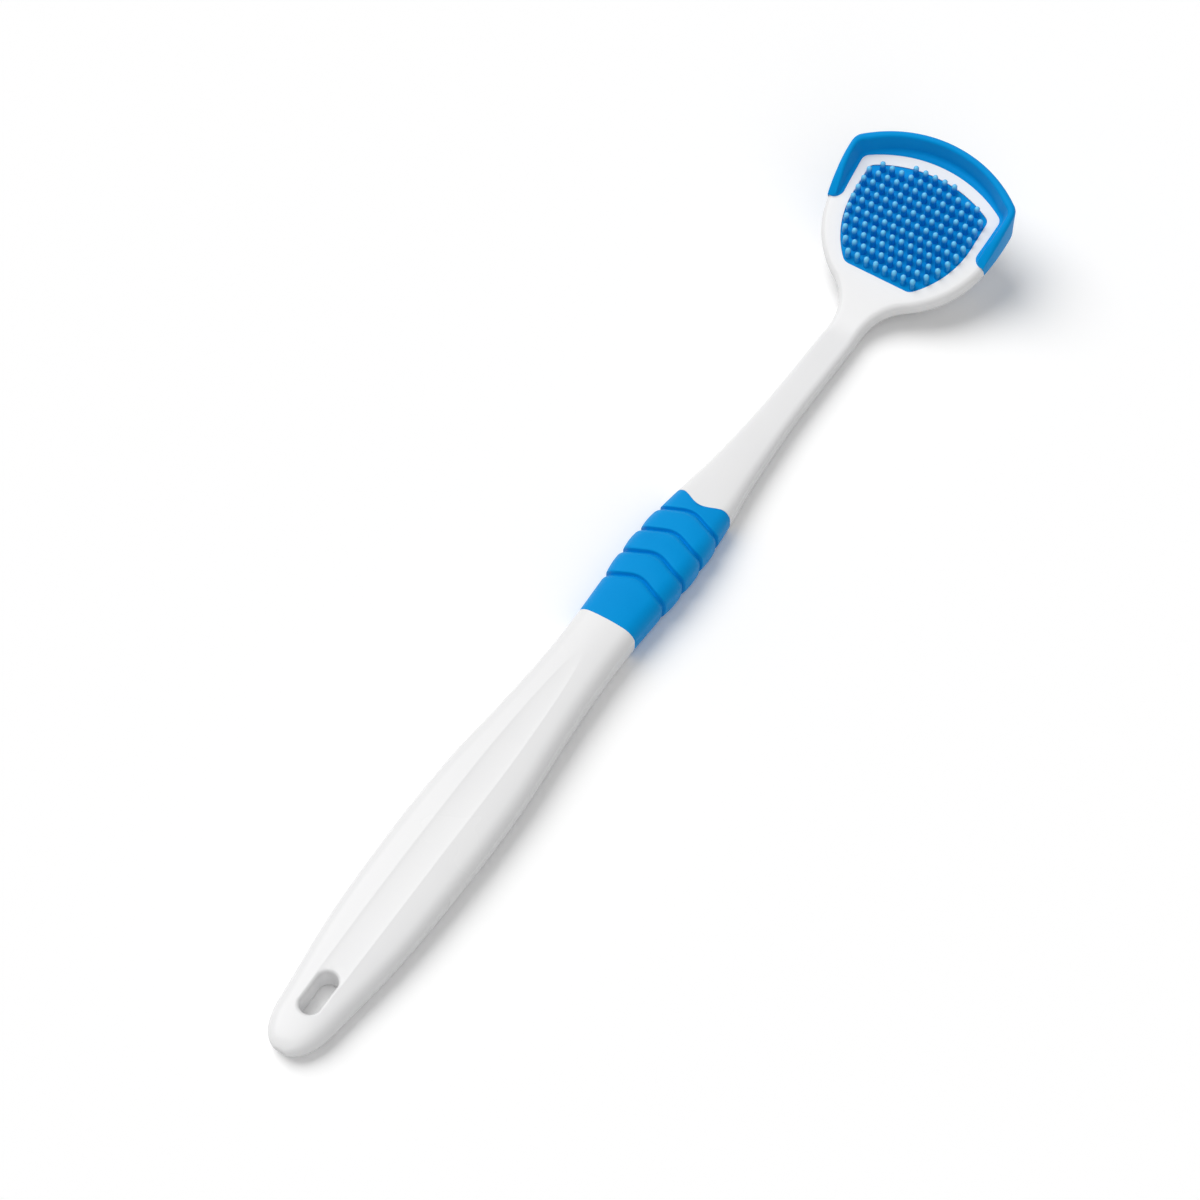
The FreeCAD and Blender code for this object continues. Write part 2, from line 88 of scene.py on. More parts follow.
# place along the handle, width of the belly, top and underside of the grip's height, crown of
# the half width
section_shares = [
    (0.000, 0.600, 0.600, 0.000, 0.11),
    (0.065, 0.735, 0.648, -0.028, 0.11),
    (0.107, 0.845, 0.700, -0.042, 0.12),
    (0.162, 0.940, 0.765, -0.042, 0.12),
    (0.228, 0.990, 0.830, -0.042, 0.12),
    (0.289, 1.000, 0.866, -0.042, 0.12),
    (0.352, 0.955, 0.890, -0.042, 0.12),
    (0.415, 0.830, 0.908, -0.042, 0.12),
    (0.477, 0.735, 0.922, -0.042, 0.12),
    (0.538, 0.702, 0.938, -0.042, 0.12),
    (0.595, 0.745, 0.955, -0.042, 0.12),
    (0.651, 0.795, 0.958, -0.042, 0.12),
    (0.702, 0.760, 0.880, -0.042, 0.12),
    (0.745, 0.670, 0.770, -0.036, 0.10),
    (0.787, 0.555, 0.680, -0.020, 0.08),
    (0.834, 0.470, 0.615, -0.006, 0.05),
    (0.891, 0.405, 0.565, 0.006, 0.03),
    (1.000, neck_width / belly_width, neck_top / grip_height, neck_underside_share, 0.0),
]

channel_start = 10.5
channel_rise = 3.0
channel_end = 82.9
channel_depth = 0.16
channel_radius = 45.0
channel_fade = 0.6
crease_least = 0.8
crease_most_share = 0.6
crease_bead = 0.022
crease_bead_width = 0.3
edge_steps = 9
flat_steps = 6
dip_steps = 6
landing_halvings = 24
handle_step = 1.2
merge_distance = 1e-7
plastic_crease = 40


def in_frame(x, y, z):
    """A point given in millimetres from the tail, in the frame of the row."""
    return Vector((x * mm, cad_low.y + (y - tail_tip) * mm, z * mm))


def on_head(x, reach, height):
    """A point given across the head, along it from the end of the bend and above its face."""
    along = handle_length + bend_radius * math.sin(head_tilt)
    up = neck_top + bend_radius * (1 - math.cos(head_tilt))
    return in_frame(
        x,
        along + reach * math.cos(head_tilt) - height * math.sin(head_tilt),
        up + reach * math.sin(head_tilt) + height * math.cos(head_tilt))


def section_sizes(place):
    """Half width, top, underside and crown of the handle at a place along it."""
    share = place / handle_length
    span = 0
    while span < len(section_shares) - 2 and share > section_shares[span + 1][0]:
        span += 1
    near = section_shares[span]
    far = section_shares[span + 1]
    before = section_shares[max(span - 1, 0)]
    after = section_shares[min(span + 2, len(section_shares) - 1)]
    run = far[0] - near[0]
    step = (share - near[0]) / run
    blended = []
    for column in range(1, len(near)):
        leave = (far[column] - before[column]) / (far[0] - before[0]) * run
        arrive = (after[column] - near[column]) / (after[0] - near[0]) * run
        rise = far[column] - near[column]
        bend = 3 * rise - 2 * leave - arrive
        twist = leave + arrive - 2 * rise
        blended.append(near[column] + step * (leave + step * (bend + step * twist)))
    width, top, bottom, crown = blended
    half = width * belly_width / 2
    return half, top * grip_height, bottom * grip_height, crown * half


def section_ring(half, top, bottom, crown, edge_across, edge_up, edge_down, dip=0, table=None):
    """Points round a section with rounded edges, crowned faces and a channel, cut flat at a table."""
    flat = half - edge_across
    crease = crease_least
    if dip:
        crease = max(crease, math.sqrt(dip / (1 / (2 * channel_radius) + crown / half**2)))
    crease = min(crease, flat * crease_most_share)

    def upper_face(x):
        """Height of the top away from its edges, with the channel and the bead along its crease."""
        height = top - crown * (x / half)**2
        if dip and x < crease:
            height = min(height, top - dip + x**2 / (2 * channel_radius))
        bead = crease_bead * dip / channel_depth
        return height + bead * math.exp(-((x - crease) / crease_bead_width)**2)

    def lower_face(x):
        """Height of the underside away from its edges."""
        height = bottom + underside_crown_share * crown * (x / half)**2
        return height if table is None else max(height, table)

    def lower_edge(turn):
        """A point of the lower edge, from the flat underside at no turn to the side at a quarter."""
        x = flat + edge_across * math.sin(turn)
        rise = edge_down * (1 - math.cos(turn))
        return x, bottom + underside_crown_share * crown * (x / half)**2 + rise

    landing = 0
    if table is not None and lower_edge(0)[1] < table:
        above = math.pi / 2
        for _ in range(landing_halvings):
            middle = (landing + above) / 2
            if lower_edge(middle)[1] < table:
                landing = middle
            else:
                above = middle
    upper = []
    lower = []
    for step in range(edge_steps + 1):
        turn = math.pi / 2 * (1 - step / edge_steps)
        x = flat + edge_across * math.sin(turn)
        upper.append((x, upper_face(x) - edge_up * (1 - math.cos(turn))))
        lower.append(lower_edge(math.pi / 2 + (landing - math.pi / 2) * step / edge_steps))
    for step in range(1, flat_steps + 1):
        x = crease + (flat - crease) * (1 - step / flat_steps)**2
        upper.append((x, upper_face(x)))
        x = lower[edge_steps][0] * (1 - step / flat_steps)
        lower.append((x, lower_face(x)))
    for step in range(1, dip_steps + 1):
        x = crease * (1 - (step / dip_steps)**2)
        upper.append((x, upper_face(x)))
    upper_left = [(-x, z) for x, z in reversed(upper[:-1])]
    lower_left = [(-x, z) for x, z in lower]
    return upper + upper_left + lower_left + list(reversed(lower[:-1]))


def handle_ring(place, inset=0):
    """The handle's section at a place, drawn in by inset all round, cut flat where it lies."""
    half, top, bottom, crown = section_sizes(place)
    start = min(1, max(0, (place - channel_start) / channel_rise + 1))
    share = (place - channel_start) / (channel_end - channel_start)
    fade = max(0, share - channel_fade) / (1 - channel_fade)
    dip = channel_depth * start * max(0, 1 - fade**2)
    kept = 1
    if place < tail_length:
        kept = (1 - (1 - place / tail_length)**tail_squareness)**(1 / tail_squareness)
    middle = (top + bottom) / 2
    half_height = (top - bottom) / 2 * kept - inset
    half = half * kept - inset
    rounder = tail_round_share * max(0, 1 - place / tail_round_length)
    edge = min((handle_edge_share + rounder) * 2 * half_height, half * edge_most_share)
    return section_ring(
        half, middle + half_height, middle - half_height, crown * kept, edge,
        (upper_edge_share + rounder) * 2 * half_height, lower_edge_share * 2 * half_height,
        0 if inset else dip, max(inset, 0))


def lobes(x):
    """Where the grip's neck end lies along the handle, from the tips of its two lobes."""
    return -grip_valley / 2 * (1 + math.cos(2 * math.pi * x / lobe_spacing))


def arc_heading(start, heading, end):
    """The heading, from +Y towards +X, at which an arc that leaves start at a heading reaches end."""
    chord = end - start
    return 2 * math.atan2(chord.x, chord.y) - heading


def tangent_arc(start, heading, end, steps):
    """Points on the arc that leaves start at a heading and goes to end."""
    whole_turn = arc_heading(start, heading, end) - heading
    radius = (end - start).length / (2 * math.sin(whole_turn / 2))
    points = []
    for step in range(steps + 1):
        turn = heading + whole_turn * step / steps
        points.append(start + Vector((
            radius * (math.cos(heading) - math.cos(turn)),
            radius * (math.sin(turn) - math.sin(heading)))))
    return points


def skin(rings, joined=False):
    """A closed mesh from a grid rolled up through rings of points; joined rings meet end to end."""
    columns = len(rings[0])
    rows = len(rings) - 1
    mesh = bmesh.new()
    bmesh.ops.create_grid(mesh, x_segments=columns, y_segments=rows, size=1)
    for vertex in mesh.verts:
        column = round((vertex.co.x + 1) / 2 * columns) % columns
        row = round((vertex.co.y + 1) / 2 * rows)
        vertex.co = rings[row][column]
    bmesh.ops.remove_doubles(mesh, verts=mesh.verts, dist=merge_distance)
    if not joined:
        bmesh.ops.holes_fill(mesh, edges=[edge for edge in mesh.edges if edge.is_boundary], sides=0)
    bmesh.ops.recalc_face_normals(mesh, faces=mesh.faces)
    if mesh.calc_volume(signed=True) < 0:
        bmesh.ops.reverse_faces(mesh, faces=mesh.faces)
    return mesh


def as_object(name, mesh, crease_degrees):
    """A named object from a bmesh, smooth except over creases sharper than an angle."""
    data = bpy.data.meshes.new(name)
    mesh.to_mesh(data)
    mesh.free()
    data.shade_smooth()
    data.set_sharp_from_angle(angle=math.radians(crease_degrees))
    piece = bpy.data.objects.new(name, data)
    bpy.context.scene.collection.objects.link(piece)
    return piece


def carve(piece, cutter):
    """Cuts one object out of another and takes the cutter away."""
    cut = piece.modifiers.new("carve", "BOOLEAN")
    cut.operation = "DIFFERENCE"
    cut.solver = "EXACT"
    cut.object = cutter
    bpy.context.view_layer.update()
    scene_state = bpy.context.evaluated_depsgraph_get()
    shaped = bpy.data.meshes.new_from_object(piece.evaluated_get(scene_state))
    shaped.name = piece.name
    piece.modifiers.clear()
    piece.data = shaped
    bpy.data.objects.remove(cutter)


def spread(first, last, step):
    """Evenly spaced numbers from first to last, about a step apart."""
    count = max(1, round((last - first) / step))
    return [first + (last - first) * number / count for number in range(count + 1)]


handle_rings = []


def add_handle_ring(place, inset=0):
    """Adds a ring of the handle, bowed near the grip's neck end to follow its lobes."""
    bow = max(0, 1 - abs(place - grip_end) / lobe_fade)
    handle_rings.append([
        in_frame(x, place + bow * lobes(x), z) for x, z in handle_ring(place, inset)])


for number in range(1, tail_rings + 1):
    turn = math.pi / 2 * number / tail_rings
    add_handle_ring(tail_tip + (tail_length - tail_tip) * (1 - math.cos(turn)))
for place in spread(tail_length, grip_start, handle_step)[1:]:
    add_handle_ring(place)
for place in spread(grip_start, grip_end, 2 * handle_step):
    add_handle_ring(place, sleeve_wall)
for place in spread(grip_end, handle_length, handle_step):
    add_handle_ring(place)

# the head's outline: the neck's bend, a flare that starts in it, then the shoulder up to the rim
bend_length = bend_radius * head_tilt
flare_radius = 9.0
flare_turn = math.radians(58)
flare_start = Vector((neck_width / 2, -3.0))
flare_steps = 20
shoulder = Vector((15.3, 16.9))
shoulder_steps = 36
bend_step = 0.6


def on_bend(x, reach, height):
    """A point given as on the head, which follows the neck's bend where the reach is negative."""
    if reach >= 0:
        return on_head(x, reach, height)
    turn = head_tilt + reach / bend_radius
    radius = bend_radius - height
    return in_frame(
        x, handle_length + radius * math.sin(turn), neck_top + bend_radius - radius * math.cos(turn))


flare_end = flare_start + flare_radius * Vector((1 - math.cos(flare_turn), math.sin(flare_turn)))
neck = [Vector((flare_start.x, reach)) for reach in spread(-bend_length, flare_start.y, bend_step)]
flare = tangent_arc(flare_start, 0, flare_end, flare_steps)
shoulder_arc = tangent_arc(flare_end, flare_turn, shoulder, shoulder_steps)
shoulder_heading = arc_heading(flare_end, flare_turn, shoulder)
outline = neck + flare[1:] + shoulder_arc[1:]
for before, point in zip(outline, outline[1:]):
    lean = math.atan2(point.x - before.x, point.y - before.y)
    across = min(plate_edge_radius / math.cos(lean), point.x * edge_most_share)
    ring = section_ring(
        point.x, 0, -plate_thickness, 0, across, plate_edge_radius, plate_edge_radius)
    handle_rings.append([on_bend(x, point.y, height) for x, height in ring])

# inside the rim the plate's edge is square and lies just under the rim's flange
rim_foot = Vector((12.95, shoulder.y))
rim_side = Vector((13.45, 25.2))
rim_corner = Vector((12.6, 26.65))
rim_front = Vector((0, 30.15))
rim_stations = 70
arm_steps = 16
corner_steps = 8
front_steps = 24
arm_bow = math.radians(1)
arm_crowding = 1.35
arm_end_round = 2.0
rim_lap = 0.25
square_edge = 0.05


def spaced_points(path, count, crowding):
    """Points along a path of straight pieces, crowded towards its start."""
    runs = [0]
    for near, far in zip(path, path[1:]):
        runs.append(runs[-1] + (far - near).length)
    points = []
    span = 0
    for number in range(count + 1):
        target = runs[-1] * (number / count)**crowding
        while span < len(runs) - 2 and runs[span + 1] < target:
            span += 1
        step = (target - runs[span]) / (runs[span + 1] - runs[span])
        points.append(path[span].lerp(path[span + 1], step))
    return points


def rail(start, heading, side, corner, front):
    """One edge of the rim: along an arm, round the corner and over the front to its middle."""
    arm_points = tangent_arc(start, heading, side, arm_steps)
    corner_points = tangent_arc(side, arc_heading(start, heading, side), corner, corner_steps)
    front_points = tangent_arc(front, math.pi / 2, corner, front_steps)
    return spaced_points(
        arm_points + corner_points[1:] + front_points[-2::-1], rim_stations, arm_crowding)


def arm_notch(reach):
    """How far the rim's inner edge is rounded back at a reach near the end of its arms."""
    gone = min(arm_end_round, max(0, arm_end_round - (reach - shoulder.y)))
    return arm_end_round - math.sqrt(arm_end_round**2 - gone**2)


arm = rim_side - rim_foot
inner_rail = rail(rim_foot, math.atan2(arm.x, arm.y) + arm_bow, rim_side, rim_corner, rim_front)
for number, point in enumerate(inner_rail[:-1]):
    along = inner_rail[number + 1] - point
    outward = Vector((along.y, -along.x)).normalized()
    edge = point + outward * (rim_lap + arm_notch(point.y))
    reach = max(edge.y, point.y)
    ring = section_ring(edge.x, 0, -plate_thickness, 0, square_edge, square_edge, square_edge)
    handle_rings.append([on_head(x, reach, height) for x, height in ring])

handle = as_object("handle_body", skin(handle_rings), plastic_crease)

# The hang slot goes straight through the tail, with rounded lips above and below.
slot_width = 3.4
slot_length = 7.8
slot_centre = 10.5
slot_lip = 0.65
slot_overrun = 3 * slot_lip
slot_points = 48
lip_steps = 6
slot_low = slot_centre - slot_length / 2
slot_high = slot_centre + slot_length / 2
slot_slope = (section_sizes(slot_high)[1] - section_sizes(slot_low)[1]) / slot_length
slot_top = (section_sizes(slot_high)[1] + section_sizes(slot_low)[1]) / 2 - channel_depth / 2


def slot_ring(grown, height, slope):
    """The slot's outline grown by a margin, at a height above its middle, sloping along it."""
    ring = []
    for number in range(slot_points):
        turn = 2 * math.pi * (number + 0.5) / slot_points
        radius = slot_width / 2 + grown
        straight = math.copysign((slot_length - slot_width) / 2, math.sin(turn))
        along = straight + radius * math.sin(turn)
        ring.append(in_frame(radius * math.cos(turn), slot_centre + along, height + slope * along))
    return ring


slot_rings = [slot_ring(slot_lip, -slot_lip, 0)]
for step in range(lip_steps + 1):
    turn = math.pi / 2 * step / lip_steps
    slot_rings.append(slot_ring(slot_lip * (1 - math.sin(turn)), slot_lip * (1 - math.cos(turn)), 0))
for step in range(lip_steps + 1):
    turn = math.pi / 2 * step / lip_steps
    slot_rings.append(slot_ring(
        slot_lip * (1 - math.cos(turn)), slot_top - slot_lip * (1 - math.sin(turn)), slot_slope))
slot_rings.append(slot_ring(slot_lip, slot_top + slot_overrun, slot_slope))
carve(handle, as_object("slot_cutter", skin(slot_rings), plastic_crease))

# The pocket for the nub pad is a flat recess in the plate.
pocket_depth = 1.4
pad_tail = Vector((5.6, 7.4))
pad_low = Vector((6.9, 7.95))
pad_wide = Vector((11.65, 19.5))
pad_side = Vector((11.65, 24.3))
pad_corner = Vector((10.85, 25.5))
pad_front = Vector((0, 28.15))
pad_corner_steps = 6
pad_side_steps = 24
pad_front_steps = 16


def pad_outline(inset):
    """The right half of the pad's outline from its tail edge to its front, drawn in by inset."""
    tail = pad_tail + Vector((-inset / 2, inset))
    low = pad_low + Vector((-inset, inset / 2))
    wide = pad_wide - Vector((inset, 0))
    side = pad_side - Vector((inset, inset))
    corner = pad_corner - Vector((inset, inset))
    front = pad_front - Vector((0, inset))
    low_points = tangent_arc(tail, math.pi / 2, low, pad_corner_steps)
    side_points = tangent_arc(low, arc_heading(low, 0, wide), wide, pad_side_steps)
    corner_points = tangent_arc(side, 0, corner, pad_corner_steps)
    front_points = tangent_arc(front, math.pi / 2, corner, pad_front_steps)
    return low_points + side_points[1:] + corner_points + front_points[-2:0:-1]


def pad_ring(inset, height):
    """The whole outline of the pad at a height above the plate's face."""
    half = pad_outline(inset)
    left = [Vector((-point.x, point.y)) for point in reversed(half)]
    return [on_head(point.x, point.y, height) for point in half + left]


pocket = skin([pad_ring(0, -pocket_depth), pad_ring(0, pocket_depth)])
carve(handle, as_object("pocket_cutter", pocket, plastic_crease))
handle.data.set_sharp_from_angle(angle=math.radians(plastic_crease))


def linear(code):
    """A colour written as sRGB hex, as the linear values that the shader takes."""
    values = []
    for start in (0, 2, 4):
        value = int(code[start:start + 2], 16) / 255
        values.append(value / 12.92 if value <= 0.04045 else ((value + 0.055) / 1.055)**2.4)
    return (*values, 1)


def add_node(tree, kind, inputs=None, **settings):
    """Adds a shader node with its settings; an input is a value or another node's output."""
    made = tree.nodes.new(kind)
    for name, value in settings.items():
        setattr(made, name, value)
    for name, value in (inputs or {}).items():
        socket = made.inputs[name]
        if isinstance(value, bpy.types.NodeSocket):
            tree.links.new(value, socket)
        else:
            socket.default_value = value
    return made


# Polypropylene, natural white: a glossy moulded skin with a faint ripple that breaks up highlights
# and a slight unevenness of tone and polish.
white = bpy.data.materials.new("polypropylene_white")
white.use_nodes = True
tree = white.node_tree
tree.nodes.clear()
place_in = add_node(tree, "ShaderNodeTexCoord")
cloud = add_node(tree, "ShaderNodeTexNoise", {
    "Vector": place_in.outputs["Object"], "Scale": 60, "Detail": 3})
tone = add_node(tree, "ShaderNodeMix", {
    "Factor": cloud.outputs["Fac"], "A": linear("ececed"), "B": linear("f2f2f2")}, data_type="RGBA")
polish = add_node(tree, "ShaderNodeMapRange", {
    "Value": cloud.outputs["Fac"], "To Min": 0.22, "To Max": 0.30})
ripple = add_node(tree, "ShaderNodeTexNoise", {
    "Vector": place_in.outputs["Object"], "Scale": 500, "Detail": 2})
bump = add_node(tree, "ShaderNodeBump", {
    "Height": ripple.outputs["Fac"], "Strength": 0.06, "Distance": 0.05 * mm})
gloss = add_node(tree, "ShaderNodeBsdfPrincipled", {
    "Roughness": polish.outputs["Result"], "IOR": 1.49, "Specular IOR Level": 0.35,
    "Normal": bump.outputs["Normal"]})
tree.links.new(tone.outputs["Result"], gloss.inputs["Base Color"])
add_node(tree, "ShaderNodeOutputMaterial", {"Surface": gloss.outputs["BSDF"]})

handle.data.materials.append(white)
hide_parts("handle_core")
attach(handle, "root")

# Grip sleeve: blue thermoplastic elastomer moulded round the handle's recessed spine, flush with
# the white at both ends, with two lobes at the neck end and four wavy grooves for the fingers.

groove_count = 4
groove_first = 9.0
groove_pitch = 5.35
groove_depth = 0.6
band_swell = 0.22
groove_wave = 0.65
groove_wave_spacing = 10.0
groove_slope = 1.4
groove_wall = 0.3
wave_rise = 6.0
lobe_rise = 2.6
sleeve_edge = 0.15
edge_rows = 4
slope_rows = 7
wall_rows = 6
bore_rows = 6
sleeve_step = 0.5
rubber_crease = 50


def eased(share):
    """A share from 0 to 1 that starts and ends gently, and stays within them."""
    share = min(1, max(0, share))
    return share * share * (3 - 2 * share)


def sleeve_place(along, x):
    """The place on the handle of a point of the sleeve; rows follow the grooves, then the lobes."""
    waved = eased(along / wave_rise) * groove_wave * math.cos(2 * math.pi * x / groove_wave_spacing)
    lobed = eased((along - grip_length + lobe_rise) / lobe_rise)
    return grip_start + along + (1 - lobed) * waved + lobed * lobes(x)


def groove_sink(along):
    """How deep the surface lies: swelling bands that slope into grooves with a steep far wall."""
    bands = (along - groove_first) / groove_pitch
    swell = 0
    if 0 < bands < groove_count - 1:
        swell = band_swell * 4 * (bands % 1) * (1 - bands % 1)
    deepest = 0
    for number in range(groove_count):
        past = along - groove_first - number * groove_pitch
        if -groove_slope < past <= 0:
            deepest = max(deepest, (1 + past / groove_slope)**2)
        elif 0 < past < groove_wall:
            deepest = max(deepest, 0.5 + 0.5 * math.cos(math.pi * past / groove_wall))
    return deepest * groove_depth - swell


def sleeve_ring(along, inset):
    """A ring of the sleeve at a distance from its tail end, drawn in by inset."""
    ring = []
    for number, (x, _) in enumerate(handle_ring(grip_start + along)):
        place = sleeve_place(along, x)
        across, up = handle_ring(place, inset)[number]
        ring.append(in_frame(across, place, up))
    return ring


rows = set(spread(sleeve_edge, grip_length - sleeve_edge, sleeve_step))
for number in range(groove_count):
    middle = groove_first + number * groove_pitch
    rows.update(spread(middle - groove_slope, middle, groove_slope / slope_rows))
    rows.update(spread(middle, middle + groove_wall, groove_wall / wall_rows))
sleeve_rings = []
for step in range(edge_rows):
    turn = math.pi / 2 * step / edge_rows
    sleeve_rings.append(sleeve_ring(
        sleeve_edge * (1 - math.sin(turn)), sleeve_edge * (1 - math.cos(turn))))
sleeve_rings.reverse()
sleeve_rings += [sleeve_ring(along, groove_sink(along)) for along in sorted(rows)]
for step in reversed(range(edge_rows)):
    turn = math.pi / 2 * step / edge_rows
    sleeve_rings.append(sleeve_ring(
        grip_length - sleeve_edge * (1 - math.sin(turn)), sleeve_edge * (1 - math.cos(turn))))
for along in spread(grip_length, 0, -grip_length / bore_rows):
    sleeve_rings.append(sleeve_ring(along, sleeve_wall))
sleeve_rings.append(sleeve_rings[0])
sleeve = as_object("grip_overmould", skin(sleeve_rings, True), rubber_crease)

# Elastomer, blue: a dull soft skin with a faint cloudiness of tone, matt from the fine grain of a
# spark-eroded mould, with a sheen that keeps the blue.
blue = bpy.data.materials.new("elastomer_blue")
blue.use_nodes = True
tree = blue.node_tree
tree.nodes.clear()
place_in = add_node(tree, "ShaderNodeTexCoord")
cloud = add_node(tree, "ShaderNodeTexNoise", {
    "Vector": place_in.outputs["Object"], "Scale": 120, "Detail": 3})
tone = add_node(tree, "ShaderNodeMix", {
    "Factor": cloud.outputs["Fac"], "A": linear("008dd6"), "B": linear("0498e0")}, data_type="RGBA")
grain = add_node(tree, "ShaderNodeTexNoise", {
    "Vector": place_in.outputs["Object"], "Scale": 2500, "Detail": 2})
dull = add_node(tree, "ShaderNodeMapRange", {
    "Value": grain.outputs["Fac"], "To Min": 0.42, "To Max": 0.58})
bump = add_node(tree, "ShaderNodeBump", {
    "Height": grain.outputs["Fac"], "Strength": 0.15, "Distance": 0.05 * mm})
soft = add_node(tree, "ShaderNodeBsdfPrincipled", {
    "Roughness": dull.outputs["Result"], "IOR": 1.5, "Specular IOR Level": 0.3,
    "Specular Tint": linear("52b8f8"), "Normal": bump.outputs["Normal"]})
tree.links.new(tone.outputs["Result"], soft.inputs["Base Color"])
add_node(tree, "ShaderNodeOutputMaterial", {"Surface": soft.outputs["BSDF"]})

sleeve.data.materials.append(blue)
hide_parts("grip_sleeve")
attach(sleeve, "root")

# Nub pad: a thin blue elastomer pad moulded into the plate's pocket, with rows of tapered nubs
# that stand straight up along the mould's draw; their tips carry a painted highlight, paler towards
# the top.

pad_recess = 0.15
pad_edge = 0.12
nub_base = 0.55
nub_face_share = 0.98
nub_neck = 0.48
nub_height = 2.1
nub_root = 0.3
nub_sides = 10
nub_tip_steps = 4
nub_crease = 60
nub_margin = 0.75
nub_pitch = 1.78
nub_row_pitch = 1.85
nub_row_inset = 0.35

pad_mesh = skin([
    pad_ring(0, -pocket_depth),
    pad_ring(0, -pad_recess - pad_edge),
    pad_ring(pad_edge / 3, -pad_recess - pad_edge / 3),
    pad_ring(pad_edge, -pad_recess)])

# one nub: half its outline turned about its axis, with a rounded tip
nub_profile = [
    (nub_base, -nub_root), (nub_base * nub_face_share, 0), (nub_neck, nub_height - nub_neck)]
for step in range(1, nub_tip_steps):
    turn = math.pi / 2 * step / nub_tip_steps
    nub_profile.append((
        nub_neck * math.cos(turn), nub_height - nub_neck * (1 - math.sin(turn))))
nub_profile.append((0, nub_height))
nub_mesh = bmesh.new()
line = [nub_mesh.verts.new((x * mm, 0, z * mm)) for x, z in nub_profile]
stems = [nub_mesh.edges.new(pair) for pair in zip(line, line[1:])]
bmesh.ops.spin(
    nub_mesh, geom=line + stems, cent=(0, 0, 0), axis=(0, 0, 1), angle=2 * math.pi,
    steps=nub_sides, use_merge=True)
bmesh.ops.remove_doubles(nub_mesh, verts=nub_mesh.verts, dist=merge_distance)
foot_edges = [edge for edge in nub_mesh.edges if edge.is_boundary]
bmesh.ops.holes_fill(nub_mesh, edges=foot_edges, sides=0)
bmesh.ops.recalc_face_normals(nub_mesh, faces=nub_mesh.faces)

field = pad_outline(nub_margin)


def field_half_width(reach):
    """Half the width of the nubs' field at a reach along the head."""
    for near, far in zip(field, field[1:]):
        if near.y <= reach <= far.y:
            return near.x + (far.x - near.x) * (reach - near.y) / (far.y - near.y)
    return 0


first_row = field[0].y + nub_row_inset
rows_run = pad_front.y - nub_margin - nub_row_inset - first_row
row_gaps = int(rows_run / nub_row_pitch)
single = nub_mesh.verts[:] + nub_mesh.edges[:] + nub_mesh.faces[:]
for row in range(row_gaps + 1):
    reach = first_row + rows_run * row / row_gaps
    half = field_half_width(reach)
    count = max(1, round(2 * half / nub_pitch))
    for number in range(count + 1):
        copied = bmesh.ops.duplicate(nub_mesh, geom=single)
        moved = [part for part in copied["geom"] if isinstance(part, bmesh.types.BMVert)]
        foot = on_head(2 * half * number / count - half, reach, -pad_recess)
        bmesh.ops.translate(nub_mesh, verts=moved, vec=foot)
bmesh.ops.delete(nub_mesh, geom=single, context="VERTS")

pad = as_object("nub_pad", pad_mesh, plastic_crease)
nubs = as_object("pad_nubs", nub_mesh, nub_crease)
# each nub's height share from its foot to its tip: the mask of the painted highlight
painted_tip_highlight = nubs.data.attributes.new("tip_share", "FLOAT", "POINT")
tilt = math.tan(head_tilt)
face_level = on_head(0, 0, -pad_recess)
for number, vertex in enumerate(nubs.data.vertices):
    above = vertex.co.z - face_level.z - (vertex.co.y - face_level.y) * tilt
    painted_tip_highlight.data[number].value = min(1, max(0, above / (nub_height * mm)))

# Elastomer, blue, at the nubs: smoother than the rest, with a painted highlight that makes each nub
# paler towards its tip, as if lit from above.
tips = bpy.data.materials.new("elastomer_blue_nubs")
tips.use_nodes = True
tree = tips.node_tree
tree.nodes.clear()
height_in = add_node(tree, "ShaderNodeAttribute", attribute_name="tip_share")
# painted highlight: the blue turns pale over the upper half of each nub
rise = add_node(tree, "ShaderNodeMapRange", {
    "Value": height_in.outputs["Fac"], "From Min": 0.5, "From Max": 1.0},
    interpolation_type="SMOOTHSTEP")
tone = add_node(tree, "ShaderNodeMix", {
    "Factor": rise.outputs["Result"], "A": linear("028bd8"), "B": linear("72cefb")}, data_type="RGBA")
soft = add_node(tree, "ShaderNodeBsdfPrincipled", {
    "Roughness": 0.25, "IOR": 1.5, "Specular Tint": linear("a8dcfb")})
tree.links.new(tone.outputs["Result"], soft.inputs["Base Color"])
add_node(tree, "ShaderNodeOutputMaterial", {"Surface": soft.outputs["BSDF"]})

pad.data.materials.append(blue)
nubs.data.materials.append(tips)
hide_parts("bristle_pad")
for piece in (pad, nubs):
    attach(piece, "root")

# Scraper rim: a blue elastomer lip moulded round the plate's front edge. Its wall leans outward
# along the front and both sides and falls away at the ends of its two arms.

lower_side = Vector((15.85, 24.9))
lower_corner = Vector((13.9, 27.9))
lower_front = Vector((0, 32.6))
upper_side = Vector((15.9, 26.7))
upper_corner = Vector((14.8, 28.7))
upper_front = Vector((0, 33.75))
rim_round_steps = 7
blade_height = 3.06
blade_foot_height = 0.2
blade_full_reach = 27.0
blade_thickness = 1.1
arm_thickness = 1.55
arm_thickening = 4
blade_lean = math.radians(20)
blade_round_share = 0.48
blade_hollow_radius = 0.8
most_round_share = 1 / 3
flange_rise = 0.06
flange_edge = 0.05

lower_rail = rail(shoulder, shoulder_heading, lower_side, lower_corner, lower_front)
upper_rail = rail(shoulder, shoulder_heading, upper_side, upper_corner, upper_front)


